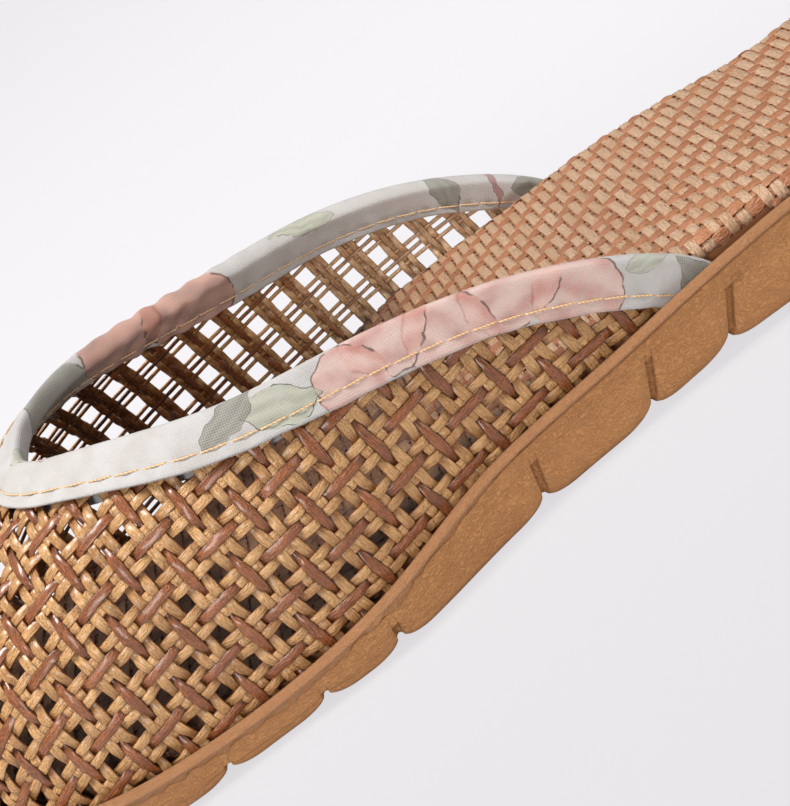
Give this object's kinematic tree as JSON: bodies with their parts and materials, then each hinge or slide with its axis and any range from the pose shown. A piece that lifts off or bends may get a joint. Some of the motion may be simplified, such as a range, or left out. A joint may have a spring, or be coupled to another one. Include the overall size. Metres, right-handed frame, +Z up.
{
  "type": "slipper",
  "caption": "Backless woven slip-on shoe for a right foot: open weave vamp with a fabric-bound throat, woven footbed and a moulded cup sole with side grooves.",
  "frame": {"origin": "middle of the bounding box on the floor, under the sole", "axes": "+Y from heel to toe, +X to the wearer's right (little-toe side), +Z up from the floor"},
  "size_m": [0.0928, 0.2606, 0.051],
  "materials": {
    "outsole": "fine pebbled grain, satin",
    "insole": "close weave of paper strips over a soft pad",
    "upper": "open weave of waxed paper strips in two browns, semi-gloss",
    "throat_binding": "matte printed cotton twill tape"
  },
  "bodies": {
    "root": {"outsole": "outsole", "insole": "insole", "upper": "upper", "throat_binding": "throat_binding"}
  },
  "joints": []
}
